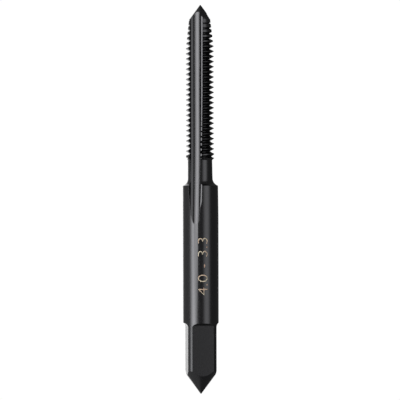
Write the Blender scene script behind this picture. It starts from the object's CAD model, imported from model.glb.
"""Thread tap, M4 x 0.7, right hand, with three straight flutes, in black-oxide steel.

The tap's steel, its etched size figures and the studio round it. Shapes are
made in millimetres and put into the frame in metres. Stations are counted along
the axis from the leading point, and turns go about it from straight up towards
+X.
"""

from math import acos, atan2, cos, pi, radians, sin, sqrt, tan

import bmesh
import bpy
from mathutils import Matrix, Vector


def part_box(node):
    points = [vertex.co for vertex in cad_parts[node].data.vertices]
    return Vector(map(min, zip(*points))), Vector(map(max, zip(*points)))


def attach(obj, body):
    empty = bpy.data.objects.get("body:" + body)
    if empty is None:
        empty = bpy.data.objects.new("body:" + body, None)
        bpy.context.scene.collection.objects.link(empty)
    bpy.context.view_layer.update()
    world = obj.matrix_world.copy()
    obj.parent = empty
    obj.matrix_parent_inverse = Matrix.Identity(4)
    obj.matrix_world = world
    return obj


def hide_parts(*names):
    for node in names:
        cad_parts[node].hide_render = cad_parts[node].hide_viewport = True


bl_info = {
    "name": "Thread Tap",
    "version": (1, 0, 0),
    "blender": (4, 5, 0),
    "location": "View3D > Sidebar > Thread Tap",
    "description": "Builds a straight-flute hand tap and the studio round it",
    "category": "Add Mesh",
}

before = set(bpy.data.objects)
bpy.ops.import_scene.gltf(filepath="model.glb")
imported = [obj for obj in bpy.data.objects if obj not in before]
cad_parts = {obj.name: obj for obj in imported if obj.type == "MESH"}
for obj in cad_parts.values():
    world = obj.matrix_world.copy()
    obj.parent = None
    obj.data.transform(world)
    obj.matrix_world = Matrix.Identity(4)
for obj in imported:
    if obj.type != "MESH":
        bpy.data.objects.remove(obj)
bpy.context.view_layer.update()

NODE = "thread_tap"
BODY = "root"
MM = 0.001

low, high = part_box(NODE)
LENGTH = (high.y - low.y) / MM
SHANK_RADIUS = (high.z - low.z) / MM / 2
AXIS_HEIGHT = SHANK_RADIUS      # the shank lies on the surface
AXIS_POINT = (0.0, 0.0, AXIS_HEIGHT)
AXIS_WAY = (0.0, 1.0, 0.0)

MERGE = 1e-5                    # corners nearer than this, in mm, are one
CREASE = radians(24)            # edges sharper than this stay sharp


# ---------------------------------------------------------------- properties


def size(name, description, default):
    """A length in millimetres."""
    return bpy.props.FloatProperty(name=name, description=description, default=default, min=0.0)


def angle(name, description, default):
    """An angle in degrees."""
    return bpy.props.FloatProperty(
        name=name, description=description, default=radians(default), subtype="ANGLE"
    )


def offset(name, description, default):
    """A place to either side of the axis, in millimetres."""
    return bpy.props.FloatProperty(name=name, description=description, default=default)


def level(name, description, default):
    """A plain amount, such as a roughness or the strength of a light."""
    return bpy.props.FloatProperty(
        name=name, description=description, default=default, min=0.0, subtype="FACTOR"
    )


def colour(name, description, default):
    """An sRGB colour as a hex value."""
    return bpy.props.StringProperty(name=name, description=description, default=default)


class TapThread(bpy.types.PropertyGroup):
    pitch: size("Pitch", "From one crest to the next, mm", 0.70)
    major: size("Major diameter", "Over the crests of the full thread, mm", 4.00)
    root: size("Root diameter", "At the bottom of the groove, mm", 2.92)
    root_flat: size("Root flat", "Width of the groove's bottom, mm", 0.03)
    flanks: angle("Thread angle", "Between the groove's two flanks", 60.0)
    crest: size("Crest station", "A crest that faces +X, mm", 7.055)
    fade: size("Fade", "Station where the groove starts to run out, mm", 20.1)
    fade_length: size("Fade length", "Of the groove's run-out, mm", 1.5)
    end: size("End", "Station where the thread meets the neck, mm", 21.23)
    lead_tip: size("Lead tip", "Small diameter of the tapered lead, mm", 3.12)
    lead_slope: angle("Lead slope", "Of the tapered lead, per side", 6.4)
    point_slope: angle("Point slope", "Of the turned point at either end", 36.5)
    point_flat: size("Point flat", "Diameter of each blunt tip, mm", 0.10)


class TapBody(bpy.types.PropertyGroup):
    neck: size("Neck", "Diameter between thread and shank, mm", 3.48)
    neck_end: size("Neck end", "Station where the neck starts to widen, mm", 23.73)
    hollow: size("Shoulder hollow", "Radius between neck and shank, mm", 1.03)
    edge: size("Shoulder edge", "Edge break of the shank, mm", 0.06)
    square: size("Square", "Across the flats, mm", 3.90)
    square_start: size("Square start", "Station where the cutter stops, mm", 43.40)
    square_corner: size("Square corner", "Radius that the cutter leaves, mm", 0.60)
    square_turn: angle("Square turn", "One flat, from straight up", 8.0)


class TapFlutes(bpy.types.PropertyGroup):
    count: bpy.props.IntProperty(name="Flutes", description="Number of flutes", default=3)
    turn: angle("Turn", "Wheel of one flute, from straight up", -4.0)
    end: size("End", "Station where the wheel starts to lift, mm", 17.45)
    wheel: size("Wheel", "Radius of the grinding wheel, mm", 46.9)
    core: size("Core", "Height of the floor's lowest line, mm", 0.62)
    floor: size("Floor", "Radius of the hollow floor, mm", 1.70)
    side: offset("Floor side", "Lowest line, from the wheel's plane, mm", -0.93)
    face: size("Face depth", "From the cutting edge to the facet, mm", 0.587)
    edge: angle("Cutting edge", "From the middle of the flute", 49.5)
    rake: angle("Rake", "Of the cutting face", 22.0)
    face_fillet: size("Face fillet", "Between cutting face and facet, mm", 0.15)
    facet_slope: angle("Facet slope", "Of the facet below the cutting face", 24.0)
    facet_fillet: size("Facet fillet", "Between facet and floor, mm", 0.50)
    heel_foot: offset("Heel foot", "Where the heel leaves the floor, mm", -0.02)
    heel_flare: angle("Heel flare", "Of the heel, from the wheel's plane", 6.0)
    heel_fillet: size("Heel fillet", "Between heel and floor, mm", 0.12)
    strip_slope: angle("Strip slope", "Of the ground strip along the heel", 24.0)
    strip_wall: size("Strip wall", "Ground below the strip's inner edge, mm", 0.45)


class TapFigures(bpy.types.PropertyGroup):
    figures: bpy.props.StringProperty(
        name="Figures", description="Thread and drill sizes etched on the shank", default="4.0 - 3.3"
    )
    length: size("Length", "Of the line of figures, mm", 7.75)
    height: size("Height", "Of a figure, mm", 1.30)
    stroke: size("Stroke", "Taken off each side of the font's strokes, mm", 0.02)
    depth: size("Depth", "Of the etching, mm", 0.02)
    station: size("Station", "Middle of the line, mm", 35.68)
    turn: angle("Turn", "Middle of the figures, from straight up", 6.2)


class TapFinish(bpy.types.PropertyGroup):
    oxide: colour("Oxide", "Black oxide on ground steel", "#5E5E60")
    smooth: level("Smooth", "Roughness where the grain is finest", 0.19)
    rough: level("Rough", "Roughness where the grain is coarsest", 0.27)
    grain: size("Grain", "Size of the steel's grain, mm", 0.15385)
    grain_depth: size("Grain depth", "Height of the steel's grain, mm", 0.01)
    grain_strength: level("Grain strength", "How much of that height shows", 0.25)
    edge_break: size("Edge break", "Rounding that every sharp edge shows, mm", 0.04)
    mark_straw: colour("Straw", "Etched figures, lighter heat tint", "#E6DCC4")
    mark_rose: colour("Rose", "Etched figures, darker heat tint", "#DDBCA4")
    mark_drift: size("Tint drift", "Length over which the heat tint changes, mm", 1.1111)
    mark_metal: level("Mark metal", "How metallic the etched figures look", 0.2)
    mark_rough: level("Mark roughness", "Of the etched figures", 0.6)


class TapStudio(bpy.types.PropertyGroup):
    floor: size("Floor", "Half the width of the light table, mm", 1500.0)
    floor_glow: level("Floor glow", "Strength of the light table", 1.02)
    room: level("Room", "Grey of the room outside the tent", 0.9)
    tent: size("Tent", "Radius of the light tent, mm", 600.0)
    lamp_full: size("Lamps full", "How far along the tap the lamps are even, mm", 300.0)
    lamp_end: size("Lamps end", "Where their light ends along the tap, mm", 500.0)
    key_turn: angle("Key lamp", "Middle of the strong lamp, from straight up", -46.5)
    key_flat: angle("Key flat", "Its even part, each way", 0.0)
    key_edge: angle("Key edge", "Where it ends, each way", 31.0)
    key_level: level("Key level", "Its strength", 3.15)
    fill_turn: angle("Fill lamp", "Middle of the weaker lamp, from straight up", 39.0)
    fill_flat: angle("Fill flat", "Its even part, each way", 6.0)
    fill_edge: angle("Fill edge", "Where it ends, each way", 28.0)
    fill_level: level("Fill level", "Its strength", 0.73)
    side_turn: angle("Side turn", "Where the cloth is lighter, from straight up", -80.0)
    side_level: level("Side level", "Glow of the lighter cloth", 0.24)
    roof_turn: angle("Roof turn", "Where the cloth is darker, from straight up", 5.0)
    roof_level: level("Roof level", "Glow of the darker cloth", 0.09)
    under_turn: angle("Under turn", "Where the glow from below starts", -153.0)
    under_full: angle("Under full", "Where it is full", -162.0)
    under_level: level("Under level", "Its strength", 1.12)
    distance: size("Distance", "From the tap's axis to the camera, mm", 250.0)
    view: size("View", "Width of the picture at the tap's axis, mm", 54.7046)
    view_station: size("View station", "Station in the middle of the picture, mm", 26.6685)
    view_across: offset("View across", "Place across the axis there, mm", -0.0875)
    view_roll: angle("View roll", "Turn of the camera about its own axis", -0.109)


# ---------------------------------------------------------------- placing


def place(station, radius, turn=0.0):
    """Point in the frame, in millimetres, from its station, radius and turn."""
    x = radius * sin(turn)
    z = AXIS_HEIGHT + radius * cos(turn)
    return Vector((x, LENGTH / 2 - station, z))


def place_at_turn(across, height, station, turn):
    """Point from its place across and out from the axis, where out is at the turn."""
    x = across * cos(turn) + height * sin(turn)
    z = AXIS_HEIGHT + height * cos(turn) - across * sin(turn)
    return Vector((x, LENGTH / 2 - station, z))


def arc_points(centre, radius, start, end, steps):
    """Points of an arc in a plane, from one angle to another."""
    points = []
    for step in range(steps + 1):
        a = start + (end - start) * step / steps
        points.append((centre[0] + radius * cos(a), centre[1] + radius * sin(a)))
    return points


# ---------------------------------------------------------------- mesh helpers


def finish_mesh(bm, name):
    """Turns a bmesh into a mesh whose faces point outwards."""
    bmesh.ops.remove_doubles(bm, verts=bm.verts, dist=MERGE)
    bmesh.ops.recalc_face_normals(bm, faces=bm.faces)
    mesh = bpy.data.meshes.new(name)
    bm.to_mesh(mesh)
    bm.free()
    return mesh


def link(name, data):
    """Puts a mesh, a text or a camera into the scene as an object at the origin."""
    thing = bpy.data.objects.new(name, data)
    bpy.context.scene.collection.objects.link(thing)
    return thing


def loop(bm, points):
    """A closed ring of edges through the points."""
    corners = [bm.verts.new(point) for point in points]
    return [bm.edges.new(pair) for pair in zip(corners, corners[1:] + corners[:1])]


def close_ends(bm):
    """Caps a tube whose ends are open."""
    bmesh.ops.remove_doubles(bm, verts=bm.verts, dist=MERGE)
    bmesh.ops.holes_fill(bm, edges=bm.edges)


def verts_of(geom):
    """The corners among the parts that a mesh operator made."""
    return [part for part in geom if isinstance(part, bmesh.types.BMVert)]


def outwards(point):
    """Unit vector from the axis to a point."""
    return Vector((point.x, 0.0, point.z - AXIS_HEIGHT)).normalized()


def cut(steel, cutter):
    """Takes a cutter's shape out of the steel, and removes the cutter."""
    modifier = steel.modifiers.new("cut", "BOOLEAN")
    modifier.operation = "DIFFERENCE"
    modifier.solver = "MANIFOLD"
    modifier.object = cutter
    bpy.context.view_layer.update()
    depsgraph = bpy.context.evaluated_depsgraph_get()
    cut_mesh = bpy.data.meshes.new_from_object(steel.evaluated_get(depsgraph))
    steel.modifiers.clear()
    steel.data = cut_mesh
    bpy.data.objects.remove(cutter)


# ---------------------------------------------------------------- turned blank

BLANK_STEPS = 256
HOLLOW_STEPS = 16


def blank_outline(thread, body):
    """Half section of the turned blank, from the leading point to the rear one."""
    tip = thread.point_flat / 2
    rise = tan(thread.point_slope)
    major = thread.major / 2
    neck = body.neck / 2
    lead_start = (thread.lead_tip / 2 - tip) / rise
    lead_end = lead_start + (major - thread.lead_tip / 2) / tan(thread.lead_slope)
    centre = (body.neck_end, neck + body.hollow)
    hollow_rise = SHANK_RADIUS - body.edge - neck
    sweep = acos(1 - hollow_rise / body.hollow)
    hollow = arc_points(centre, body.hollow, -pi / 2, sweep - pi / 2, HOLLOW_STEPS)
    shoulder = hollow[-1][0]
    outline = [(0, 0), (0, tip), (lead_start, thread.lead_tip / 2), (lead_end, major)]
    outline += [(thread.end - (major - neck), major), (thread.end, neck)]
    outline += hollow
    outline += [(shoulder + body.edge, SHANK_RADIUS)]
    outline += [(LENGTH - (SHANK_RADIUS - tip) / rise, SHANK_RADIUS), (LENGTH, tip), (LENGTH, 0)]
    return outline


def turned_blank(thread, body):
    """The bar as it leaves the lathe: point, lead, thread's bar, neck, shank and rear point."""
    bm = bmesh.new()
    corners = [bm.verts.new(place(station, radius)) for station, radius in blank_outline(thread, body)]
    edges = [bm.edges.new(pair) for pair in zip(corners, corners[1:])]
    bmesh.ops.spin(
        bm, geom=corners + edges, cent=AXIS_POINT, axis=AXIS_WAY, angle=2 * pi,
        steps=BLANK_STEPS, use_merge=True,
    )
    return link("tap_steel", finish_mesh(bm, "tap_steel"))


# ---------------------------------------------------------------- thread

STEPS_PER_TURN = 120
TURNS_AHEAD = 10                # of groove, ahead of the crest that sets its place
GROOVE_CLEAR = 0.03             # the cutter reaches this far over the crests, mm
FADE_CURVE = 1.5                # the groove leaves its depth slowly at first


def groove_cutter(thread):
    """The V of the thread, swept right hand along the axis, fading at its end."""
    root = thread.root / 2
    foot = thread.root_flat / 2
    top = thread.major / 2 + GROOVE_CLEAR
    mouth = foot + (top - root) * tan(thread.flanks / 2)
    start = thread.crest + thread.pitch / 2 - thread.pitch * TURNS_AHEAD
    turns = int((thread.fade + thread.fade_length - start) / thread.pitch) + 1
    bm = bmesh.new()
    vee = ((-foot, root), (-mouth, top), (mouth, top), (foot, root))
    ring = loop(bm, [place(start + shift, radius, pi / 2) for shift, radius in vee])
    # a right-hand groove moves to higher stations as it turns back from +X
    bmesh.ops.spin(
        bm, geom=ring, cent=AXIS_POINT, axis=AXIS_WAY, angle=-2 * pi, steps=STEPS_PER_TURN,
        dvec=(0.0, -thread.pitch / STEPS_PER_TURN, 0.0),
    )
    first_turn = bm.verts[:] + bm.edges[:] + bm.faces[:]
    for number in range(1, turns):
        copied = bmesh.ops.duplicate(bm, geom=first_turn)["geom"]
        step = (0.0, -thread.pitch * number, 0.0)
        bmesh.ops.translate(bm, verts=verts_of(copied), vec=step)
    close_ends(bm)
    for vert in bm.verts:
        station = LENGTH / 2 - vert.co.y
        faded = max(0.0, station - thread.fade) / thread.fade_length
        vert.co += outwards(vert.co) * (top - root) * faded ** FADE_CURVE
    return link("groove_cutter", finish_mesh(bm, "groove_cutter"))


# ---------------------------------------------------------------- flutes

CUTTER_CLEAR = 1.0              # wheels and mills reach this far past the steel, mm
WHEEL_STEPS = 72
FLOOR_STEPS = 12
FILLET_STEPS = 8
FACE_FILLET_STEPS = 6


def onto_floor(point, way, centre, floor):
    """Where a straight wall meets the round floor."""
    start = point - centre
    along = start.dot(way)
    return point + way * (sqrt(along ** 2 - start.length_squared + floor ** 2) - along)


def floor_fillet(point, way, radius, centre, floor):
    """Arc that joins a straight wall to the round floor, from wall to floor."""
    inside = Vector((-way.y, way.x)) if way.x > 0 else Vector((way.y, -way.x))
    middle = onto_floor(point + inside * radius, way, centre, floor - radius)
    out = middle - centre
    wall_angle = atan2(-inside.y, -inside.x)
    return arc_points(middle, radius, wall_angle, atan2(out.y, out.x), FILLET_STEPS)


def corner_fillet(before, corner, after, radius):
    """Arc that rounds the corner of two straight walls."""
    back = (before - corner).normalized()
    ahead = (after - corner).normalized()
    half = back.angle(ahead) / 2
    middle = corner + (back + ahead).normalized() * radius / sin(half)
    ends = [corner + way * radius / tan(half) - middle for way in (back, ahead)]
    angles = [atan2(end.y, end.x) for end in ends]
    return arc_points(middle, radius, *angles, FACE_FILLET_STEPS)


def flute_outline(thread, flutes):
    """Section of one flute: cutting face, facet, hollow floor and near-upright heel."""
    top = SHANK_RADIUS + CUTTER_CLEAR
    lean = flutes.edge - flutes.rake
    inwards = Vector((sin(lean), -cos(lean)))
    edge = Vector((-sin(flutes.edge), cos(flutes.edge))) * (thread.major / 2)
    centre = Vector((flutes.side, flutes.core + flutes.floor))
    face_top = edge - inwards * ((top - edge.y) / cos(lean))
    face_foot = edge + inwards * flutes.face
    facet_way = Vector((cos(flutes.facet_slope), -sin(flutes.facet_slope)))
    facet = floor_fillet(face_foot, facet_way, flutes.facet_fillet, centre, flutes.floor)
    heel_foot = Vector((flutes.heel_foot, 0.0))
    heel_foot.y = centre.y - sqrt(flutes.floor ** 2 - (heel_foot.x - centre.x) ** 2)
    heel_top = Vector((heel_foot.x + (top - heel_foot.y) * tan(flutes.heel_flare), top))
    heel_way = (heel_foot - heel_top).normalized()
    heel = floor_fillet(heel_top, heel_way, flutes.heel_fillet, centre, flutes.floor)
    ends = [Vector(end) - centre for end in (facet[-1], heel[-1])]
    angles = [atan2(end.y, end.x) for end in ends]
    floor = arc_points(centre, flutes.floor, *angles, FLOOR_STEPS)[1:-1]
    face = corner_fillet(face_top, face_foot, face_foot + facet_way, flutes.face_fillet)
    return [tuple(face_top)] + face + facet + floor + heel[::-1] + [tuple(heel_top)]


def flute_cutter(thread, flutes, number):
    """One flute as its wheel leaves it: straight, then lifting along the wheel's arc."""
    turn = flutes.turn + 2 * pi / flutes.count * number
    outline = flute_outline(thread, flutes)
    bm = bmesh.new()
    ring = loop(bm, [place_at_turn(u, v, flutes.end, turn) for u, v in outline])
    straight = bmesh.ops.extrude_edge_only(bm, edges=ring)["geom"]
    past_point = (0.0, flutes.end + CUTTER_CLEAR, 0.0)
    bmesh.ops.translate(bm, verts=verts_of(straight), vec=past_point)
    lift = acos(1 - (SHANK_RADIUS + CUTTER_CLEAR - flutes.core) / flutes.wheel)
    axle = place_at_turn(0.0, flutes.core + flutes.wheel, flutes.end, turn)
    way = Vector((cos(turn), 0.0, -sin(turn)))
    bmesh.ops.spin(bm, geom=ring, cent=axle, axis=way, angle=-lift, steps=WHEEL_STEPS)
    close_ends(bm)
    return link("flute_cutter", finish_mesh(bm, "flute_cutter"))


# the narrow strip ground along each heel: station, height of its inner edge, and
# how far its inner and outer edges lie across from the wheel's plane
STRIP = (
    (-1.0, 1.20, 0.21, 0.40),
    (4.0, 1.24, 0.21, 0.40),
    (12.0, 1.34, 0.20, 0.38),
    (16.0, 1.44, 0.18, 0.34),
    (20.8, 1.86, 0.14, 0.29),
    (24.7, 2.12, 0.19, 0.36),
    (26.4, 2.28, 0.15, 0.33),
    (27.9, 2.44, 0.08, 0.28),
    (29.5, 2.60, 0.03, 0.25),
)
STRIP_FREE_SIDE = -0.06         # the cutter's free side hangs in the flute, mm


def strip_section(flutes, height, inner, outer):
    """Section of the strip's wheel: heel wall, strip, and clear sides."""
    top = SHANK_RADIUS + CUTTER_CLEAR
    return (
        (STRIP_FREE_SIDE, height - flutes.strip_wall),
        (inner, height),
        (outer, height + (outer - inner) * tan(flutes.strip_slope)),
        (outer, top),
        (STRIP_FREE_SIDE, top),
    )


def strip_cutter(flutes, number):
    """The wheel that grinds the narrow sloping strip along one heel."""
    turn = flutes.turn + 2 * pi / flutes.count * number
    bm = bmesh.new()
    rings = []
    for station, *edges in STRIP:
        section = strip_section(flutes, *edges)
        rings.append(loop(bm, [place_at_turn(u, v, station, turn) for u, v in section]))
    for near, far in zip(rings, rings[1:]):
        bmesh.ops.bridge_loops(bm, edges=near + far)
    close_ends(bm)
    return link("strip_cutter", finish_mesh(bm, "strip_cutter"))


# ---------------------------------------------------------------- drive square

SQUARE_SIDES = 4
CORNER_STEPS = 12


def flat_cutter(body, side):
    """The cutter that mills one flat of the square, with its corner radius."""
    turn = body.square_turn + 2 * pi / SQUARE_SIDES * side
    half = body.square / 2
    top = SHANK_RADIUS + CUTTER_CLEAR
    end = LENGTH + CUTTER_CLEAR
    corner = body.square_corner
    centre = (body.square_start + corner, half + corner)
    outline = [(body.square_start, top)]
    outline += arc_points(centre, corner, pi, 1.5 * pi, CORNER_STEPS)
    outline += [(end, half), (end, top)]
    bm = bmesh.new()
    side_face = bm.faces.new([bm.verts.new(place_at_turn(-top, v, s, turn)) for s, v in outline])
    grown = bmesh.ops.extrude_face_region(bm, geom=[side_face])["geom"]
    across = Vector((cos(turn), 0.0, -sin(turn))) * 2 * top
    bmesh.ops.translate(bm, verts=verts_of(grown), vec=across)
    return link("flat_cutter", finish_mesh(bm, "flat_cutter"))


# ---------------------------------------------------------------- etched figures

FIGURE_SLICES = 6               # cuts each way, so that flat strokes can bend round the shank
FIGURE_CLEAR = 0.05             # the cutter reaches this far over the shank, mm


def flat_figures(marking):
    """The strokes of the size figures, flat and in the font's own size."""
    text = bpy.data.curves.new("figures", "FONT")
    text.body = marking.figures
    text.offset = -marking.stroke
    thing = link("figures", text)
    bpy.context.view_layer.update()
    depsgraph = bpy.context.evaluated_depsgraph_get()
    flat = bpy.data.meshes.new_from_object(thing.evaluated_get(depsgraph))
    bpy.data.objects.remove(thing)
    bm = bmesh.new()
    bm.from_mesh(flat)
    bmesh.ops.remove_doubles(bm, verts=bm.verts, dist=MERGE)
    return bm


def fit_axis(bm, axis, wanted):
    """Stretches a flat mesh along one axis to the size wanted, with its middle at zero."""
    near = min(vert.co[axis] for vert in bm.verts)
    far = max(vert.co[axis] for vert in bm.verts)
    for vert in bm.verts:
        vert.co[axis] = ((vert.co[axis] - near) / (far - near) - 0.5) * wanted


def figures_cutter(marking):
    """The sunk strokes of the size figures, which read towards the leading point."""
    bm = flat_figures(marking)
    fit_axis(bm, 0, marking.length)
    fit_axis(bm, 1, marking.height)
    for slice_number in range(-FIGURE_SLICES, FIGURE_SLICES + 1):
        line = marking.height / 2 * slice_number / (FIGURE_SLICES + 1)
        geom = bm.verts[:] + bm.edges[:] + bm.faces[:]
        bmesh.ops.bisect_plane(bm, geom=geom, plane_co=(0, line, 0), plane_no=(0, 1, 0))
    sunk_radius = SHANK_RADIUS - marking.depth
    for vert in bm.verts:
        turn = marking.turn - vert.co.y / SHANK_RADIUS
        vert.co = place(marking.station - vert.co.x, sunk_radius, turn)
    grown = bmesh.ops.extrude_face_region(bm, geom=bm.faces[:])["geom"]
    for vert in verts_of(grown):
        vert.co += outwards(vert.co) * (marking.depth + FIGURE_CLEAR)
    return link("figures_cutter", finish_mesh(bm, "figures_cutter"))


# ---------------------------------------------------------------- materials


def linear(hex_colour):
    """Linear colour from an sRGB hex value."""
    channels = [int(hex_colour[i:i + 2], 16) / 255 for i in (1, 3, 5)]
    lit = [c / 12.92 if c <= 0.04045 else ((c + 0.055) / 1.055) ** 2.4 for c in channels]
    return (*lit, 1.0)


def add_node(tree, kind, settings=None, links=None):
    """Adds a node, sets its values and sockets, by name or number, and links its inputs."""
    node = tree.nodes.new(kind)
    for key, value in (settings or {}).items():
        if isinstance(key, int) or key in node.inputs:
            node.inputs[key].default_value = value
        else:
            setattr(node, key, value)
    for key, socket in (links or {}).items():
        tree.links.new(socket, node.inputs[key])
    return node


def new_material(name):
    """An empty material and its node tree."""
    material = bpy.data.materials.new(name)
    material.use_nodes = True
    material.node_tree.nodes.clear()
    return material, material.node_tree


def black_oxide(finish):
    """Ground tool steel, blackened in hot salts.

    The grinding leaves a fine grain, whose gloss and slope vary, so the metal's
    dark highlights have soft, slightly broken edges. The real grain is a few
    hundredths of a millimetre, and is drawn as coarse as it needs to show. Every
    sharp edge is broken a little, and shows as a thin line of its own.
    """
    material, tree = new_material("black_oxide_ground_steel")
    here = add_node(tree, "ShaderNodeTexCoord")
    grain = add_node(
        tree, "ShaderNodeTexNoise",
        {"Scale": 1 / (finish.grain * MM), "Detail": 2.0, "Roughness": 0.6},
        {"Vector": here.outputs["Object"]},
    )
    gloss = add_node(
        tree, "ShaderNodeMapRange",
        {"From Min": 0.3, "From Max": 0.7, "To Min": finish.smooth, "To Max": finish.rough},
        {"Value": grain.outputs["Fac"]},
    )
    edges = add_node(tree, "ShaderNodeBevel", {"samples": 8, "Radius": finish.edge_break * MM})
    bump = add_node(
        tree, "ShaderNodeBump",
        {"Strength": finish.grain_strength, "Distance": finish.grain_depth * MM},
        {"Height": grain.outputs["Fac"], "Normal": edges.outputs["Normal"]},
    )
    shader = add_node(
        tree, "ShaderNodeBsdfPrincipled",
        {"Base Color": linear(finish.oxide), "Metallic": 1.0},
        {"Roughness": gloss.outputs["Result"], "Normal": bump.outputs["Normal"]},
    )
    add_node(tree, "ShaderNodeOutputMaterial", None, {"Surface": shader.outputs["BSDF"]})
    return material


def etched_tint(finish):
    """Steel bared by etching and tinted by heat.

    The etch leaves it matt and pale, and the tint drifts between straw and rose
    along the line of figures.
    """
    material, tree = new_material("etched_heat_tinted_steel")
    here = add_node(tree, "ShaderNodeTexCoord")
    drift = add_node(
        tree, "ShaderNodeTexNoise",
        {"Scale": 1 / (finish.mark_drift * MM), "Detail": 1.0, "Roughness": 0.5},
        {"Vector": here.outputs["Object"]},
    )
    tint = add_node(tree, "ShaderNodeValToRGB", None, {"Fac": drift.outputs["Fac"]})
    stops = ((0.35, finish.mark_rose), (0.65, finish.mark_straw))
    for stop, (position, hex_colour) in zip(tint.color_ramp.elements, stops):
        stop.position = position
        stop.color = linear(hex_colour)
    shader = add_node(
        tree, "ShaderNodeBsdfPrincipled",
        {"Metallic": finish.mark_metal, "Roughness": finish.mark_rough},
        {"Base Color": tint.outputs["Color"]},
    )
    add_node(tree, "ShaderNodeOutputMaterial", None, {"Surface": shader.outputs["BSDF"]})
    return material


def light_table(studio):
    """Opal glass lit from below: even, and just white."""
    material, tree = new_material("light_table")
    glow = add_node(
        tree, "ShaderNodeEmission", {"Color": linear("#FFFFFF"), "Strength": studio.floor_glow}
    )
    add_node(tree, "ShaderNodeOutputMaterial", None, {"Surface": glow.outputs["Emission"]})
    return material


def ramp(start, end, from_level, to_level):
    """Settings of a soft step from one level to another, between two values."""
    return {
        "interpolation_type": "SMOOTHSTEP", "From Min": start, "From Max": end,
        "To Min": from_level, "To Max": to_level,
    }


def tent_cloth(studio):
    """White cloth lit from outside.

    Two lamps behind it make soft patches, a strong one to the left and a weaker one
    to the right. The rest is dim, and the light table glows through it from below.
    """
    material, tree = new_material("lit_tent_cloth")
    here = add_node(tree, "ShaderNodeTexCoord")
    axes = add_node(tree, "ShaderNodeSeparateXYZ", None, {"Vector": here.outputs["Object"]})
    turn = add_node(
        tree, "ShaderNodeMath", {"operation": "ARCTAN2"},
        {0: axes.outputs["X"], 1: axes.outputs["Z"]},
    ).outputs["Value"]
    along = add_node(
        tree, "ShaderNodeMath", {"operation": "ABSOLUTE"}, {0: axes.outputs["Y"]}
    ).outputs["Value"]
    reach = add_node(
        tree, "ShaderNodeMapRange", ramp(studio.lamp_full * MM, studio.lamp_end * MM, 1.0, 0.0),
        {"Value": along},
    )
    dim = ramp(studio.side_turn, studio.roof_turn, studio.side_level, studio.roof_level)
    below = ramp(studio.under_turn, studio.under_full, 0.0, studio.under_level)
    parts = [
        add_node(tree, "ShaderNodeMapRange", settings, {"Value": turn}).outputs["Result"]
        for settings in (dim, below)
    ]
    lamps = (
        (studio.key_turn, studio.key_flat, studio.key_edge, studio.key_level),
        (studio.fill_turn, studio.fill_flat, studio.fill_edge, studio.fill_level),
    )
    for middle, flat, edge, strength in lamps:
        away = add_node(tree, "ShaderNodeMath", {"operation": "SUBTRACT", 1: middle}, {0: turn})
        off = add_node(
            tree, "ShaderNodeMath", {"operation": "ABSOLUTE"}, {0: away.outputs["Value"]}
        )
        patch = add_node(
            tree, "ShaderNodeMapRange", ramp(flat, edge, strength, 0.0),
            {"Value": off.outputs["Value"]},
        )
        lamp = add_node(
            tree, "ShaderNodeMath", {"operation": "MULTIPLY"},
            {0: patch.outputs["Result"], 1: reach.outputs["Result"]},
        )
        parts.append(lamp.outputs["Value"])
    total = parts[0]
    for part in parts[1:]:
        total = add_node(
            tree, "ShaderNodeMath", {"operation": "ADD"}, {0: total, 1: part}
        ).outputs["Value"]
    glow = add_node(tree, "ShaderNodeEmission", {"Color": linear("#FFFFFF")}, {"Strength": total})
    add_node(tree, "ShaderNodeOutputMaterial", None, {"Surface": glow.outputs["Emission"]})
    return material


# ---------------------------------------------------------------- studio

TENT_SEGMENTS = 48
TENT_RINGS = 24
SENSOR = 36.0                   # width of the camera's sensor, mm


def table(studio):
    """The light table that the tap lies on, which the steel doesn't mirror."""
    bm = bmesh.new()
    bmesh.ops.create_grid(bm, x_segments=1, y_segments=1, size=studio.floor * MM)
    thing = link("floor", finish_mesh(bm, "floor"))
    thing.data.materials.append(light_table(studio))
    thing.visible_glossy = False
    return thing


def tent(studio):
    """A sphere of cloth round the tap, which the camera looks through."""
    bm = bmesh.new()
    bmesh.ops.create_uvsphere(
        bm, u_segments=TENT_SEGMENTS, v_segments=TENT_RINGS, radius=studio.tent * MM
    )
    bmesh.ops.reverse_faces(bm, faces=bm.faces)
    mesh = bpy.data.meshes.new("light_tent")
    bm.to_mesh(mesh)
    bm.free()
    mesh.materials.append(tent_cloth(studio))
    thing = link("light_tent", mesh)
    thing.visible_camera = False
    return thing


def pale_room(studio):
    """The world outside the tent, which the steel doesn't mirror."""
    world = bpy.data.worlds.new("pale_room")
    world.use_nodes = True
    background = world.node_tree.nodes["Background"]
    background.inputs["Color"].default_value = (studio.room, studio.room, studio.room, 1.0)
    background.inputs["Strength"].default_value = 1.0
    world.cycles_visibility.glossy = False
    return world


def camera(studio):
    """A long lens straight above the tap, with the leading point at the top."""
    eye = bpy.data.cameras.new("camera")
    eye.sensor_width = SENSOR
    eye.lens = SENSOR * studio.distance / studio.view
    eye.clip_start, eye.clip_end = 0.01, 10.0
    thing = link("camera", eye)
    place_mm = (studio.view_across, LENGTH / 2 - studio.view_station, AXIS_HEIGHT + studio.distance)
    thing.location = Vector(place_mm) * MM
    thing.rotation_euler = (0.0, 0.0, studio.view_roll)
    return thing


# ---------------------------------------------------------------- operators


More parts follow.
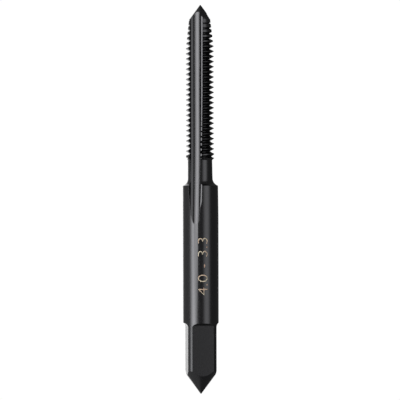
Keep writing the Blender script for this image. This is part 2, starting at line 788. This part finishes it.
class TAP_OT_steel(bpy.types.Operator):
    """Turn the blank, cut its thread, grind its flutes, mill its square and etch its figures"""

    bl_idname = "tap.steel"
    bl_label = "Steel"

    def execute(self, context):
        """Makes the steel from its sizes and gives it its body, node and slot."""
        scene = context.scene
        thread, body, flutes = scene.tap_thread, scene.tap_body, scene.tap_flutes
        steel = turned_blank(thread, body)
        cut(steel, groove_cutter(thread))
        for number in range(flutes.count):
            cut(steel, flute_cutter(thread, flutes, number))
            cut(steel, strip_cutter(flutes, number))
        for side in range(SQUARE_SIDES):
            cut(steel, flat_cutter(body, side))
        figures = figures_cutter(scene.tap_figures)
        finishes = (black_oxide(scene.tap_finish), etched_tint(scene.tap_finish))
        for mesh in (steel.data, figures.data):
            mesh.materials.clear()
            for finish in finishes:
                mesh.materials.append(finish)
        for face in figures.data.polygons:
            face.material_index = 1
        cut(steel, figures)
        mesh = steel.data
        mesh.name = "tap_steel"
        mesh.transform(Matrix.Scale(MM, 4))
        mesh.shade_smooth()
        mesh.set_sharp_from_angle(angle=CREASE)
        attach(steel, BODY)
        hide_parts(NODE)
        return {"FINISHED"}


class TAP_OT_studio(bpy.types.Operator):
    """Add the light table, the lit tent, the room and the camera"""

    bl_idname = "tap.studio"
    bl_label = "Studio"

    def execute(self, context):
        """Makes the studio from its values."""
        scene = context.scene
        studio = scene.tap_studio
        table(studio)
        tent(studio)
        scene.world = pale_room(studio)
        scene.view_settings.view_transform = "Standard"
        scene.camera = camera(studio)
        return {"FINISHED"}


class TAP_PT_panel(bpy.types.Panel):
    """Sizes and finishes of the tap"""

    bl_label = "Thread Tap"
    bl_idname = "TAP_PT_panel"
    bl_space_type = "VIEW_3D"
    bl_region_type = "UI"
    bl_category = "Thread Tap"

    def draw(self, context):
        """Lists the operators, then each group of values in a box."""
        for operator in (TAP_OT_steel, TAP_OT_studio):
            self.layout.operator(operator.bl_idname)
        for group in GROUPS:
            box = self.layout.box()
            settings = getattr(context.scene, group)
            for name in settings.__annotations__:
                box.prop(settings, name)


GROUPS = {
    "tap_thread": TapThread,
    "tap_body": TapBody,
    "tap_flutes": TapFlutes,
    "tap_figures": TapFigures,
    "tap_finish": TapFinish,
    "tap_studio": TapStudio,
}
CLASSES = (*GROUPS.values(), TAP_OT_steel, TAP_OT_studio, TAP_PT_panel)


def register():
    """Adds the classes, and the groups of values to the scene."""
    for each in CLASSES:
        bpy.utils.register_class(each)
    for name, group in GROUPS.items():
        setattr(bpy.types.Scene, name, bpy.props.PointerProperty(type=group))


def unregister():
    """Takes the groups and the classes away again."""
    for name in GROUPS:
        delattr(bpy.types.Scene, name)
    for each in reversed(CLASSES):
        bpy.utils.unregister_class(each)


def main():
    """Builds the tap and its studio."""
    register()
    bpy.ops.tap.steel()
    bpy.ops.tap.studio()


if __name__ == "__main__":
    main()
